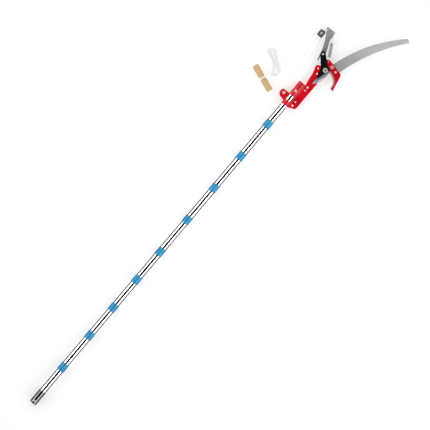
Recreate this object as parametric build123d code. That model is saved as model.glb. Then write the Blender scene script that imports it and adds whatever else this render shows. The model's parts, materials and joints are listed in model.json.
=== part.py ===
from build123d import *
import math
import os

# Sectional pole saw with a cord-worked lopper head, in millimetres.
# X runs along the pole from its butt end to its head, Z is up and the pole's axis is at z = 0.
# The lopper's cord and lever are on the +Y side, and its hook and saw are on the -Y side.

# Pole
tube_r = 12.5
tube_wall = 1.2
butt_length = 170.0
long_pitch = 151.0
short_pitch = 132.0
head_length = 195.0
pitches = [long_pitch] + [short_pitch] * 3 + [long_pitch] * 4
press_gap = 0.02
run_gap = 0.05
body_gap = 0.3

# Screwed couplings, stepped in and out from the tube's surface
collar_step = 1.7
collar_r = tube_r + collar_step
collar_length = 32.0
thread_step = 0.1
thread_r = tube_r - thread_step
thread_relief = 0.5
thread_length = 15.0
lip_length = 3.7
neck_step = 1.5
neck_r = tube_r - neck_step
flange_length = 3.7
nose_step = 3.5
nose_r = tube_r - nose_step
nose_length = 18.0
plug_length = 20.0

# Butt cap
cap_wall = 0.9
cap_length = 58.0
cap_end = 20.0
cap_plug = 12.0
cap_rim_length = 6.0
cap_rim_height = 0.5
hang_hole_r = 3.5
hang_hole_x = 12.0

# Head sheet metal
sheet = 2.0
socket_length = 103.0
socket_fit = 0.05
window_start = 20.0
window_length = 23.0
window_reach = (-9.0, 11.0)
tube_end_inset = 6.0
pivot_reach = 87.5
pivot_y = -33.4
flange_hole_r = 3.8
flange_hole_pitch = 85.5
flange_hole_y = -24.6
arm_hole_r = 3.2
rivet_r = 2.0
rivet_head_r = 3.3
rivet_head_height = 1.4
rivet_head_round = 0.8
saw_rivet_head_r = 4.2
lever_rivet_head_r = 3.8

# Lower pulley between the two ears
ear_x = 32.7
ear_y = 29.6
ear_r = 14.5
sheave_width = 7.0
sheave_side_gap = 0.5
ear_gap = sheave_width / 2 + sheave_side_gap
axle_r = 3.0

# Sheaves and cord
cord_r = 1.5
lower_cord_r = 10.1
upper_cord_r = 7.6
groove_gap = 0.35
sheave_lip = 1.5

# Lopper stack, counted up from the front of the sheet metal
jaw_thickness = 3.0
blade_gap = 0.1
blade_thickness = 3.5
lever_sheet = 2.0
lever_depth = 13.0
boss_r = 14.0
pivot_bolt_r = 4.0
pivot_nut_r = 7.6
pivot_head_r = 8.0
pivot_head_height = 5.0
washer_r = 8.5
washer_thickness = 1.0
saw_thickness = 1.6
bolt_r = 3.0
nut_r = 6.3
nut_height = 4.5
thread_proud = 0.8
bolt_head_height = 3.6
round_head_r = 5.2
bolt_fit = 0.1
screw_r = 2.5
grind_width = 8.0
edge_land = 0.6
saw_teeth = 46
tooth_span_x = (40.0, 267.0)
tooth_notch = 2.8
tooth_lean = 38.0

# Return spring
spring_r = 5.75
spring_wire_r = 0.8
spring_coil_start = 16.0
spring_coil_length = 55.0
spring_hook_rise = 1.8
spring_hook_drop = 1.2
spring_bend_r = 1.0

# Block on the lever
block_rear = 14.0
block_front = 11.0
block_half_width = 10.8
block_wall = 1.2
cheek_thickness = 1.2
link_wire_r = 1.3
link_bend_r = 3.0
link_clearance = 0.5
link_reach = 1.5
tongue_r = 3.8
tongue_half = 1.0
becket_pin_r = 1.2
pin_head_r = 4.2
pin_head_height = 1.2
knot_r = 2.6

# Pull handle
handle_length = 107.0
handle_r = 11.8
handle_waist_r = 9.0
handle_bore_r = 2.4

floor_z = -collar_r


def rod(x0, x1, r):
    """A round bar along X on the pole's axis."""
    return Pos((x0 + x1) / 2, 0, 0) * Rot(0, 90, 0) * Cylinder(r, x1 - x0)


def pipe(x0, x1, r_out, r_in):
    return rod(x0, x1, r_out) - rod(x0 - 1, x1 + 1, r_in)


def post(x, y, z0, z1, r):
    """A round bar along Z."""
    return Pos(x, y, (z0 + z1) / 2) * Cylinder(r, z1 - z0)


def block(x0, x1, y0, y1, z0, z1):
    return Pos((x0 + x1) / 2, (y0 + y1) / 2, (z0 + z1) / 2) * Box(x1 - x0, y1 - y0, z1 - z0)


def hexagon(x, y, z0, z1, across):
    """A hexagonal prism along Z, given by its corner radius."""
    return Pos(x, y, z0) * extrude(RegularPolygon(across, 6), z1 - z0)


def outline(start, *steps):
    """A closed face from straight steps, written as a point, and arcs, written as (mid, end)."""
    here = start
    edges = []
    for step in steps:
        if isinstance(step[0], tuple):
            edges.append(ThreePointArc(here, step[0], step[1]))
            here = step[1]
        else:
            edges.append(Line(here, step))
            here = step
    if here != start:
        edges.append(Line(here, start))
    return make_face(edges)


def slab(face, x, y, z0, z1):
    """A face drawn about (x, y), made solid between two heights."""
    return Pos(x, y, z0) * extrude(face, z1 - z0, dir=(0, 0, 1))


def keep(shape, node):
    export_step(shape, f"parts/{node}.step")


# Places along the pole
joint_xs = [butt_length]
for pitch in pitches:
    joint_xs.append(joint_xs[-1] + pitch)
socket_top = joint_xs[-1] + head_length
socket_bottom = socket_top - socket_length
pivot_x = socket_top + pivot_reach
tube_bore_r = tube_r - tube_wall
half_collar = collar_length / 2
ear_pin_x = socket_bottom + ear_x

# Heights of the lopper's layers
jaw_z = sheet
jaw_top = jaw_z + jaw_thickness
blade_z = jaw_top + blade_gap
blade_top = blade_z + blade_thickness
web_z = blade_z - lever_sheet
lever_back = blade_z - lever_depth
saw_top = jaw_z
saw_back = saw_top - saw_thickness


def tube(number):
    """Section tubes are numbered from the butt, and the last one goes into the head."""
    start = cap_end if number == 0 else joint_xs[number - 1] + half_collar + body_gap
    end = socket_top - tube_end_inset
    if number < len(joint_xs):
        end = joint_xs[number] - half_collar - body_gap
        return pipe(start, end, tube_r, tube_bore_r)
    return pipe(start, end, tube_r, tube_bore_r) - post(*sleeve_screw_place, 1, 20, screw_r)


def threaded_ferrule(x):
    """Plug in the end of the lower tube, with the outside thread that the collar pulls on."""
    seat = x + half_collar - lip_length - flange_length - 2 * body_gap
    foot = x - half_collar - body_gap
    shape = rod(foot - plug_length, foot, tube_bore_r - press_gap)
    shape += rod(foot, seat - thread_length, thread_r - thread_relief)
    shape += rod(seat - thread_length, seat, thread_r)
    return shape - rod(seat - nose_length - 2, seat + 1, nose_r + run_gap)


def flanged_ferrule(x):
    """Plug in the end of the upper tube: its flange holds the collar and its nose centres the joint."""
    face = x + half_collar - lip_length - body_gap
    seat = face - flange_length
    foot = x + half_collar + body_gap
    shape = rod(seat - nose_length, seat, nose_r)
    shape += rod(seat, face, thread_r - run_gap)
    shape += rod(face, foot, neck_r)
    return shape + rod(foot, foot + plug_length, tube_bore_r - press_gap)


def collar(x):
    """Union nut that turns on the flange's neck and screws onto the ferrule below."""
    lip = x + half_collar - lip_length
    shape = rod(x - half_collar, x + half_collar, collar_r)
    shape = chamfer(shape.edges().filter_by(GeomType.CIRCLE), 0.7)
    shape -= rod(x - half_collar - 1, lip, thread_r + run_gap)
    return shape - rod(lip - 1, x + half_collar + 1, neck_r + run_gap)


def butt_cap():
    body = rod(0, cap_length, tube_r + cap_wall)
    body += rod(cap_length - cap_rim_length, cap_length, tube_r + cap_wall + cap_rim_height / 2)
    body = fillet(body.edges().filter_by(GeomType.CIRCLE).sort_by(Axis.X)[0], 3)
    body -= rod(cap_end, cap_length + 1, tube_r + press_gap)
    body += rod(cap_end - 1, cap_end + cap_plug, tube_bore_r - press_gap)
    return body - post(hang_hole_x, 0, -collar_r, collar_r, hang_hole_r)


# Outlines of the lopper head, drawn about its main pivot
flange_left = socket_bottom - pivot_x
sleeve_top = socket_top - pivot_x
flange_root = -pivot_y - tube_r - 0.4
shell_outline = outline(
    (flange_left, flange_root),
    (flange_left + 9, 1.4),
    ((flange_left + 12, -5.5), (flange_left + 20, -8.6)),
    (-57, -8.9),
    ((-32, -9), (-8, -boss_r)),
    ((boss_r, -2), (3, boss_r)),
    (1.5, 25),
    (-1.1, 33.2),
    ((-6.5, 36.6), (-14.8, 35.4)),
    (-35.1, 28.7),
    (-62.1, 25.3),
    (sleeve_top + 7, 22),
    (sleeve_top, 19.3),
    (sleeve_top, flange_root),
)
jaw_outline = outline(
    (2, -15.3),
    ((-3, -32), (-13, -46.8)),
    ((-22, -52), (-36, -54.3)),
    (-40.3, -62),
    ((-41.5, -66.5), (-39, -68.6)),
    (-6.8, -62.1),
    (13.5, -57.4),
    ((24.8, -51), (27.2, -39.5)),
    (34.5, -14),
    (38.6, 7),
    ((38.4, 14), (35, 18.5)),
    ((30.8, 21.2), (26, 19)),
    (12, 8),
    ((-2, 13), (-12, 5)),
    (-21, 3),
    ((-28, -3), (-21, -9)),
    (-8, -11),
)
cutting_edge = ((4.8, -14.6), (-33.7, -15.9), (-66.7, 4.9))
blade_outline = outline(
    cutting_edge[2],
    (-53.5, 6.6),
    (-42.5, 5.7),
    ((-25, 11.5), (-7.5, 17.6)),
    (3, 24.5),
    (31.5, 50.3),
    ((49.6, 45.2), (47.5, 38.2)),
    (18.8, 3.5),
    (15, -4),
    ((13, -10.5), cutting_edge[0]),
    cutting_edge[1:],
)
lever_outline = outline(
    (30, 50.4),
    (47.3, 55.6),
    (82.8, 70.8),
    (122.9, 95.7),
    (126.5, 94),
    (128.5, 61),
    (125.5, 59.2),
    (94.7, 56.7),
    (55.3, 40.5),
    (44, 36),
    (35, 37.5),
)
tail_outline = outline((10.6, 45.8), (46.9, 56.8), (47.9, 53.6), (11.6, 42.2))
toothed_edge = ((34.5, -47.6), (141, -87), (270, -168.6))
saw_outline = outline(
    (12, -40),
    (12, -22),
    ((13.5, -9), (24, -3)),
    (38.5, -8.6),
    ((158, -59), (280, -154.5)),
    ((276.5, -163), toothed_edge[2]),
    (toothed_edge[1], toothed_edge[0]),
    (20, -45.5),
)
lever_pin = (39.7, 44.4)
jaw_pins = ((23.9, -11.5), (19, -32.7))
jaw_anchor = (-21, -3)
spring_foot = (30.9, 10.5)
spring_head = (124.2, 64.5)
link_hole = (118.8, 87.6)
link_hole_r = 2.2
lever_flat_x = 100
lever_foot = (20, 46, 25, 48)
lever_stiffener = (124, 126, 66, 82)
stiffener_depth = 4
tail_inset = 3
spring_hole_r = 1.6
arm_holes = ((-10.8, 24.6), (-27.7, 15.5))


def at_pivot(point):
    return (pivot_x + point[0], pivot_y + point[1])


def hole(point, r):
    return post(*at_pivot(point), -40, 40, r)


def beside_pivot(x0, x1, y0, y1, z0, z1):
    return block(pivot_x + x0, pivot_x + x1, pivot_y + y0, pivot_y + y1, z0, z1)


def trough(side):
    """Half of the socket round the pole, on the +Z or -Z side."""
    ring = pipe(socket_bottom, socket_top, tube_r + socket_fit + sheet - 0.4, tube_r + socket_fit)
    low, high = (0, 40) if side > 0 else (-40, 0)
    return ring & block(socket_bottom - 1, socket_top + 1, -40, 40, low, high)


def shell(side):
    """One stamped half of the head: half socket, flange, arm to the pivot and pulley ear."""
    low, high = (0, sheet) if side > 0 else (-sheet, 0)
    ear_low = ear_gap if side > 0 else -ear_gap - sheet
    body = trough(side)
    body += slab(shell_outline, pivot_x, pivot_y, low, high)
    root_y = tube_r - 0.2
    ear = outline(
        (ear_x - 22, root_y),
        (ear_x - 17, ear_y + 4),
        ((ear_x, ear_y + ear_r), (ear_x + 11, ear_y + 9)),
        (ear_x + 12, root_y),
    )
    body += slab(ear, socket_bottom, 0, ear_low, ear_low + sheet)
    if side > 0:
        window = block(
            socket_bottom + window_start,
            socket_bottom + window_start + window_length,
            window_reach[0],
            window_reach[1],
            1,
            20,
        )
        body -= fillet(window.edges().filter_by(Axis.Z), 5)
        body -= post(*sleeve_screw_place, 1, 20, screw_r)
    body -= post(ear_pin_x, ear_y, -40, 40, axle_r + 0.1)
    for x in flange_hole_xs:
        body -= post(x, flange_hole_y, -40, 40, flange_hole_r)
    for x in rivet_xs:
        body -= post(x, flange_hole_y, -40, 40, rivet_r)
    for place in arm_holes:
        body -= hole(place, arm_hole_r)
    body -= hole(jaw_anchor, rivet_r)
    return body - hole((0, 0), pivot_bolt_r + bolt_fit)


flange_hole_xs = (socket_bottom + 16.7, socket_bottom + 16.7 + flange_hole_pitch)
rivet_xs = (flange_hole_xs[0] + 16.5, flange_hole_xs[1] - 14.1)
sleeve_screw_place = (socket_bottom + 64.5, 0)


def jaw():
    """Fixed hook of the lopper, bolted and riveted to the front of the shells with the saw."""
    body = slab(jaw_outline, pivot_x, pivot_y, jaw_z, jaw_top)
    for place in jaw_pins:
        body -= hole(place, bolt_r + bolt_fit)
    body -= hole(jaw_anchor, rivet_r)
    body -= hole(spring_foot, spring_hole_r)
    return body - hole((0, 0), pivot_bolt_r + bolt_fit)


def saw():
    """Curved pruning saw of even thickness, with its teeth along the inner curve."""
    body = slab(saw_outline, pivot_x, pivot_y, saw_back, saw_top)
    centre, radius = circle_through(*toothed_edge)
    first = math.atan2(toothed_edge[0][1] - centre[1], tooth_span_x[0] - centre[0])
    last = math.atan2(toothed_edge[2][1] - centre[1], tooth_span_x[1] - centre[0])
    for n in range(saw_teeth):
        angle = first + (last - first) * (n + 0.5) / saw_teeth
        x = centre[0] + radius * math.cos(angle)
        y = centre[1] + radius * math.sin(angle)
        gullet = Rot(0, 0, math.degrees(angle) + tooth_lean) * Rectangle(tooth_notch, tooth_notch)
        body -= Pos(pivot_x + x, pivot_y + y, saw_back - 1) * extrude(gullet, saw_thickness + 2)
    for place in jaw_pins:
        body -= hole(place, bolt_r + bolt_fit)
    return body


def circle_through(first, second, third):
    """Centre and radius of the circle through three points."""
    (ax, ay), (bx, by), (cx, cy) = first, second, third
    d = 2 * (ax * (by - cy) + bx * (cy - ay) + cx * (ay - by))
    a, b, c = ax * ax + ay * ay, bx * bx + by * by, cx * cx + cy * cy
    x = (a * (by - cy) + b * (cy - ay) + c * (ay - by)) / d
    y = (a * (cx - bx) + b * (ax - cx) + c * (bx - ax)) / d
    return (x, y), math.hypot(ax - x, ay - y)


def cutting_blade():
    body = slab(blade_outline, pivot_x, pivot_y, blade_z, blade_top)
    centre, radius = circle_through(*cutting_edge)
    slope = (blade_thickness - edge_land) / grind_width
    ramp = Polyline(
        (radius - grind_width, blade_top),
        (radius + 4, blade_top - slope * (grind_width + 4)),
        (radius + 4, blade_top + 1),
        (radius - grind_width, blade_top + 1),
        close=True,
    )
    ground = Pos(*at_pivot(centre), 0) * revolve(Plane.XZ * make_face(ramp), Axis.Z)
    reach = block(pivot_x - 80, pivot_x + 6, pivot_y - 40, pivot_y + 7, 0, 40)
    body -= ground & reach
    body -= hole(lever_pin, bolt_r)
    return body - hole((0, 0), pivot_bolt_r + run_gap)


def lever():
    """Folded lever arm: a web behind the blade with flanges turned back, flat at its wide end."""
    body = slab(lever_outline, pivot_x, pivot_y, lever_back, blade_z)
    inside = offset(lever_outline, -lever_sheet, kind=Kind.INTERSECTION)
    body -= slab(inside, pivot_x, pivot_y, lever_back - 1, web_z)
    body -= beside_pivot(lever_flat_x, 140, 50, 100, lever_back - 1, web_z)
    body -= beside_pivot(*lever_foot, lever_back - 1, web_z)
    body += beside_pivot(*lever_stiffener, web_z - stiffener_depth, web_z)
    body += slab(tail_outline, pivot_x, pivot_y, lever_back + tail_inset, web_z)
    body -= hole(lever_pin, bolt_r)
    body -= hole(link_hole, link_hole_r)
    return body - hole(spring_head, spring_hole_r)


def wire(points, radius, bends):
    """A round wire along straight runs joined by tangent arcs."""
    path = FilletPolyline(*points, radius=bends)
    start = Plane(origin=path @ 0, z_dir=path % 0)
    return sweep(start * Circle(radius), path=path)


def return_spring():
    """Close-wound tension spring between the hook's top and the lever, with a hook at each end."""
    x0, y0 = at_pivot(spring_foot)
    x1, y1 = at_pivot(spring_head)
    span = math.hypot(x1 - x0, y1 - y0)
    turn = math.degrees(math.atan2(y1 - y0, x1 - x0))
    z = jaw_z + jaw_thickness / 2
    end = spring_coil_start + spring_coil_length
    turn_width = 2 * spring_wire_r
    body = pipe(spring_coil_start, end, spring_r, spring_r - turn_width)
    for near, far in ((0, spring_coil_start), (span, end)):
        way = 1 if far > near else -1
        closing = sorted((far, far + turn_width * way))
        body += rod(*closing, spring_r - spring_wire_r)
        points = [
            (near, 0, -jaw_thickness / 2 - spring_hook_drop),
            (near, 0, jaw_thickness / 2 + spring_hook_rise),
            (far - 6 * way, 0, jaw_thickness / 2 + spring_hook_rise),
            (far - 3 * way, 0, 0),
            (far + spring_wire_r * way, 0, 0),
        ]
        body += wire(points, spring_wire_r, [spring_bend_r] * 3)
    return Pos(x0, y0, z) * Rot(0, 0, turn) * body


def sheave(x, y, cord_path_r):
    """Grooved pulley: the cord's centre runs on the given radius."""
    r = cord_path_r + sheave_lip
    body = post(x, y, -sheave_width / 2, sheave_width / 2, r)
    groove = Torus(cord_path_r, cord_r + groove_gap)
    ring = Cylinder(r + 2, 2 * (cord_r + groove_gap)) - Cylinder(cord_path_r, sheave_width)
    body -= Pos(x, y, 0) * (groove + ring)
    return body - post(x, y, -10, 10, axle_r + run_gap)


# Block that hangs on the lever's link hole, drawn about its own sheave
block_at = (94.5, 97.3)
tongue_hole = (14.3, -2.5)
becket = (-12.2, 5.5)
lower_wall_start = 2.0
upper_wall_start = 4.4
cheek_side_gap = 0.4
cheek_z = sheave_width / 2 + cheek_side_gap


def in_block(x, y):
    return (pivot_x + block_at[0] + x, pivot_y + block_at[1] + y)


def block_box(x0, x1, y0, y1, z0, z1):
    bx, by = in_block(0, 0)
    return block(bx + x0, bx + x1, by + y0, by + y1, z0, z1)


def block_frame():
    """Folded strap round the front of the sheave, open behind where the cord comes and goes."""
    inner = block_half_width - block_wall
    body = block_box(lower_wall_start, block_front, -block_half_width, -inner, -cheek_z, cheek_z)
    front = block_front - block_wall
    body += block_box(front, block_front, -block_half_width, block_half_width, -cheek_z, cheek_z)
    body += block_box(upper_wall_start, block_front, inner, block_half_width, -cheek_z, cheek_z)
    x, y = tongue_hole
    body += block_box(front, x, y - tongue_r, y + tongue_r, -tongue_half, tongue_half)
    body += post(*in_block(x, y), -tongue_half, tongue_half, tongue_r)
    return body - post(*in_block(*tongue_hole), -3, 3, link_hole_r)


def block_cheeks():
    plates = []
    for low in (cheek_z, -cheek_z - cheek_thickness):
        high = low + cheek_thickness
        plate = block_box(-block_rear, block_front, -block_half_width, block_half_width, low, high)
        plate = fillet(plate.edges().filter_by(Axis.Z), 2.5)
        plate -= post(*in_block(0, 0), -10, 10, axle_r + press_gap)
        plates.append(plate - post(*in_block(*becket), -10, 10, becket_pin_r + press_gap))
    return Compound(children=plates)


def block_pins():
    top = cheek_z + cheek_thickness
    axle = post(*in_block(0, 0), -top - 1, top + 1, axle_r)
    axle += post(*in_block(0, 0), top, top + pin_head_height, pin_head_r)
    axle += post(*in_block(0, 0), -top - pin_head_height, -top, pin_head_r)
    eye = post(*in_block(*becket), -top - 0.6, top + 0.6, becket_pin_r)
    return Compound(children=[axle, eye])


def becket_knot():
    knot = Pos(*in_block(*becket), 0) * Sphere(knot_r)
    return knot - post(*in_block(*becket), -5, 5, becket_pin_r + press_gap)


def block_link():
    """Closed wire link through the lever's hole and the block's tongue."""
    hx, hy = at_pivot(link_hole)
    tx, ty = in_block(*tongue_hole)
    span = math.hypot(tx - hx, ty - hy)
    turn = math.degrees(math.atan2(ty - hy, tx - hx))
    top = blade_z + link_clearance + link_wire_r
    bottom = -link_reach - link_wire_r
    loop = RectangleRounded(span, top - bottom, link_bend_r)
    middle = Plane.XZ * Pos(span / 2, (top + bottom) / 2) * loop
    path = middle.wire()
    start = Plane(origin=path @ 0, z_dir=path % 0)
    return Pos(hx, hy, 0) * Rot(0, 0, turn) * sweep(start * Circle(link_wire_r), path=path)


def lower_axle():
    """Bolt through both ears, with its nut at the back."""
    top = ear_gap + sheet
    body = post(ear_pin_x, ear_y, -top - nut_height, top, axle_r)
    return body + hexagon(ear_pin_x, ear_y, top, top + bolt_head_height, nut_r)


def hex_nuts():
    back = -ear_gap - sheet
    ear_nut = hexagon(ear_pin_x, ear_y, back - nut_height + thread_proud, back, nut_r)
    ear_nut -= post(ear_pin_x, ear_y, -30, 30, axle_r + press_gap)
    x, y = at_pivot(jaw_pins[0])
    saw_nut = hexagon(x, y, jaw_top, jaw_top + nut_height, nut_r)
    return Compound(children=[ear_nut, saw_nut - post(x, y, -30, 30, bolt_r + press_gap)])


def saw_bolt():
    x, y = at_pivot(jaw_pins[0])
    body = post(x, y, saw_back, jaw_top + nut_height + thread_proud, bolt_r)
    return body + post(x, y, saw_back - bolt_head_height, saw_back, round_head_r)


def rivet(x, y, low, high, r, head_r, flush=False):
    """A riveted pin with a domed head at each end, or a plain front end where a part passes over."""
    body = post(x, y, low, high, r)
    ends = [post(x, y, low - rivet_head_height, low, head_r)]
    if not flush:
        ends.append(post(x, y, high, high + rivet_head_height, head_r))
    for end in ends:
        rim = end.edges().filter_by(GeomType.CIRCLE).sort_by(Axis.Z)[0 if end is ends[0] else -1]
        body += fillet(rim, rivet_head_round)
    return body


def shell_rivets():
    return Compound(children=[
        rivet(x, flange_hole_y, -sheet, sheet, rivet_r - press_gap, rivet_head_r) for x in rivet_xs
    ])


def sleeve_screw():
    """Self-tapping screw through the socket into the top tube, so that nothing stands out behind."""
    x, y = sleeve_screw_place
    top = tube_r + socket_fit + sheet - 0.4
    body = post(x, y, tube_bore_r - 7, top + 0.2, screw_r - press_gap)
    return body + hexagon(x, y, top + 0.2, top + bolt_head_height, round_head_r)


def pivot_bolt():
    top = blade_top + blade_gap + washer_thickness + nut_height + 2
    body = post(*at_pivot((0, 0)), -sheet, top, pivot_bolt_r)
    return body + hexagon(*at_pivot((0, 0)), -sheet - pivot_head_height, -sheet, pivot_head_r)


def pivot_washer():
    low = blade_top + blade_gap
    body = post(*at_pivot((0, 0)), low, low + washer_thickness, washer_r)
    return body - hole((0, 0), pivot_bolt_r + bolt_fit)


def pivot_nut():
    low = blade_top + blade_gap + washer_thickness
    body = hexagon(*at_pivot((0, 0)), low, low + nut_height + 1, pivot_nut_r)
    return body - hole((0, 0), pivot_bolt_r + press_gap)


# Pull handle, lying on the floor beside the head
handle_middle = (1436.8, 122.7)
handle_turn = 70.7
handle_axis_z = floor_z + handle_r


def pull_handle():
    """Turned wooden toggle with a waist for the cord and a cross hole through it."""
    half = handle_length / 2
    profile = outline(
        (0, -half),
        (handle_r - 3, -half),
        ((handle_r - 0.9, -half + 0.9), (handle_r, -half + 3)),
        (handle_r, -12),
        (handle_r - 0.9, -7),
        (handle_waist_r, -4),
        (handle_waist_r, 4),
        (handle_r - 0.9, 7),
        (handle_r, 12),
        (handle_r, half - 3),
        ((handle_r - 0.9, half - 0.9), (handle_r - 3, half)),
        (0, half),
    )
    body = revolve(Plane.XZ * profile, Axis.Z)
    body -= Rot(90, 0, 0) * Cylinder(handle_bore_r, 3 * handle_r)
    return Pos(*handle_middle, handle_axis_z) * Rot(0, 0, handle_turn) * Rot(0, 90, 0) * body


# The cord: its route is chosen by hand, from the block's becket to the hank and on to the handle
cord_floor = floor_z + cord_r + 0.1
tackle_route = [
    (1682.9, 69.5, 0),
    (1632.7, 61.6, 0),
    (1574.0, 53.4, 0),
    (1515.0, 46.3, 0),
    (1472.3, 41.9, 0),
    (1449.8, 39.9, 0),
    (1438.6, 38.9, 0),
    (1434.1, 28.0, 0),
    (1441.4, 18.7, 0),
    (1464.9, 21.4, 0),
    (1511.9, 27.1, 0),
    (1573.6, 35.5, 0),
    (1626.8, 43.7, 0),
    (1667.1, 50.5, 0),
    (1690.4, 54.7, 0),
    (1703.1, 57.0, 0),
    (1706.8, 62.9, 0),
    (1704.7, 69.6, 0),
    (1698.6, 74.0, 0),
]
lead_route = [
    (1698.6, 74.0, 0),
    (1692.5, 78.4, 0),
    (1679.5, 84.4, -1.5),
    (1655.0, 93.0, -6),
    (1617.0, 98.8, -10.5),
    (1574.0, 101.2, cord_floor),
    (1535.0, 106.8, cord_floor),
    (1512.0, 113.0, cord_floor),
]
tail_route = [
    (1482.0, 112.0, cord_floor),
    (1470.0, 115.5, cord_floor),
    (1458.0, 117.3, -9),
    (1447.0, 119.6, -4.5),
]
hank_height = 11.0
hank_outline = [
    (1533, 181),
    (1544, 166),
    (1534, 139),
    (1520, 112),
    (1501, 86),
    (1483, 75),
    (1469, 81),
    (1466, 107),
    (1484, 119),
    (1509, 136),
    (1518, 156),
    (1521, 176),
]


def bend_radii(points):
    """The largest arc that fits at each corner: 0.45 of the shorter run over the tangent of half the turn."""
    radii = []
    for a, b, c in zip(points, points[1:], points[2:]):
        run_in, run_out = Vector(b) - Vector(a), Vector(c) - Vector(b)
        half_turn = math.radians(run_in.get_angle(run_out)) / 2
        radii.append(0.45 * min(run_in.length, run_out.length) / math.tan(half_turn))
    return radii


def cord(name, points):
    radii = bend_radii(points)
    body = wire(points, cord_r, radii)
    length = FilletPolyline(*points, radius=radii).length
    share = body.volume / (math.pi * cord_r**2 * length)
    print(name, "length", round(length, 1), "volume over section times length", round(share, 4))
    print("  radii", [round(r, 1) for r in radii])
    return body


def hank():
    face = make_face(Spline(*hank_outline, periodic=True))
    body = extrude(Pos(0, 0, floor_z + 0.1) * face, hank_height, dir=(0, 0, 1))
    return fillet(body.edges().group_by(Axis.Z)[-1], 3.5)


os.makedirs("parts", exist_ok=True)
for number in range(len(joint_xs) + 1):
    ends = []
    if number > 0:
        ends.append(flanged_ferrule(joint_xs[number - 1]))
    if number < len(joint_xs):
        ends.append(threaded_ferrule(joint_xs[number]))
        keep(collar(joint_xs[number]), f"collar_{number + 1}")
    keep(tube(number), f"tube_{number + 1}")
    keep(Compound(children=ends), f"ferrules_{number + 1}")

keep(butt_cap(), "butt_cap")
keep(shell(1), "front_shell")
keep(shell(-1), "back_shell")
keep(jaw(), "hook_jaw")
keep(saw(), "saw_blade")
keep(saw_bolt(), "saw_bolt")
keep(rivet(*at_pivot(jaw_pins[1]), saw_back, jaw_top, bolt_r, saw_rivet_head_r), "saw_rivet")
anchor = rivet(*at_pivot(jaw_anchor), -sheet, jaw_top, rivet_r - press_gap, rivet_head_r, True)
keep(anchor, "jaw_rivet")
keep(shell_rivets(), "shell_rivets")
keep(sleeve_screw(), "sleeve_screw")
keep(hex_nuts(), "hex_nuts")
keep(pivot_bolt(), "pivot_bolt")
keep(pivot_washer(), "pivot_washer")
keep(pivot_nut(), "pivot_nut")
keep(lower_axle(), "lower_axle")
keep(sheave(ear_pin_x, ear_y, lower_cord_r), "lower_sheave")
keep(cutting_blade(), "cutting_blade")
keep(lever(), "lever_arm")
keep(rivet(*at_pivot(lever_pin), web_z, blade_top, bolt_r - press_gap, lever_rivet_head_r), "lever_rivet")
keep(return_spring(), "return_spring")
keep(block_frame(), "block_frame")
keep(block_cheeks(), "block_cheeks")
keep(block_pins(), "block_pins")
keep(sheave(*in_block(0, 0), upper_cord_r), "upper_sheave")
keep(block_link(), "block_link")
keep(becket_knot(), "becket_knot")
keep(pull_handle(), "pull_handle")
keep(cord("cord_tackle", tackle_route), "cord_tackle")
keep(cord("cord_lead", lead_route), "cord_lead")
keep(cord("cord_tail", tail_route), "cord_tail")
keep(hank(), "cord_hank")
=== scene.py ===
import json
import math
import bmesh
import bpy
import numpy as np
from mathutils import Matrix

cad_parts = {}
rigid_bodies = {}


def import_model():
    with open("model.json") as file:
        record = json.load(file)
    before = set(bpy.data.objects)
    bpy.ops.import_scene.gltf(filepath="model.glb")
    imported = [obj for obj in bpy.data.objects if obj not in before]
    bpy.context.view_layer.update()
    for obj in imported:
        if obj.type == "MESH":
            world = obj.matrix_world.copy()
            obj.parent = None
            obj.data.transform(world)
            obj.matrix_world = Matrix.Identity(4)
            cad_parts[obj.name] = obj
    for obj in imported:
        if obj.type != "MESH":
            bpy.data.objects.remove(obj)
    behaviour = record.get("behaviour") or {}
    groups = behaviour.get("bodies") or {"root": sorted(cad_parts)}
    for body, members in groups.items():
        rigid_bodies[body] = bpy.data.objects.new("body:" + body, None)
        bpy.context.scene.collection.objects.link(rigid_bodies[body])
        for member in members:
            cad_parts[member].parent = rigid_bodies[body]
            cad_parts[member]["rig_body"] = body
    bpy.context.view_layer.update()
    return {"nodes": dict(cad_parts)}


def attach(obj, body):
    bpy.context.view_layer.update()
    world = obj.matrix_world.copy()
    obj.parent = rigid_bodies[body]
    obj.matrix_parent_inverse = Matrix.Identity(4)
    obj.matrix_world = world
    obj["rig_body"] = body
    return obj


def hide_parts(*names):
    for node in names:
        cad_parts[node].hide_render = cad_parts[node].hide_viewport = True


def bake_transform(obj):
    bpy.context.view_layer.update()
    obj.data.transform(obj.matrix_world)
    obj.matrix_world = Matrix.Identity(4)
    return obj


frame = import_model()
cadNodes = frame["nodes"]
mm = 0.001

# Camera: straight above the pole, which runs up to the right
camera = {"aim": (0.9464, -0.0657), "height": 12.0, "turn": -49.85, "lens": 277.5}
lensData = bpy.data.cameras.new("camera")
lensData.lens, lensData.sensor_width = camera["lens"], 36
lensData.clip_end = 100
cameraObject = bpy.data.objects.new("camera", lensData)
cameraObject.location = (*camera["aim"], camera["height"])
cameraObject.rotation_euler = (0, 0, math.radians(camera["turn"]))
bpy.context.scene.collection.objects.link(cameraObject)
bpy.context.scene.camera = cameraObject
print("camera set")


# Meshes from arrays

def gridFaces(rows, columns, roundRows, roundColumns):
    # quad (i, j) has corners (i, j), (i+1, j), (i+1, j+1) and (i, j+1), wrapped where the grid is closed
    rowSteps, columnSteps = np.arange(rows - (not roundRows)), np.arange(columns - (not roundColumns))
    i, j = np.meshgrid(rowSteps, columnSteps, indexing="ij")
    i, j = i.ravel(), j.ravel()
    corners = [(i, j), (i + 1, j), (i + 1, j + 1), (i, j + 1)]
    index = np.stack([(a % rows) * columns + b % columns for a, b in corners], 1)
    steps = np.stack([np.stack([a, b], 1) for a, b in corners], 1)
    return index, steps


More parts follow.
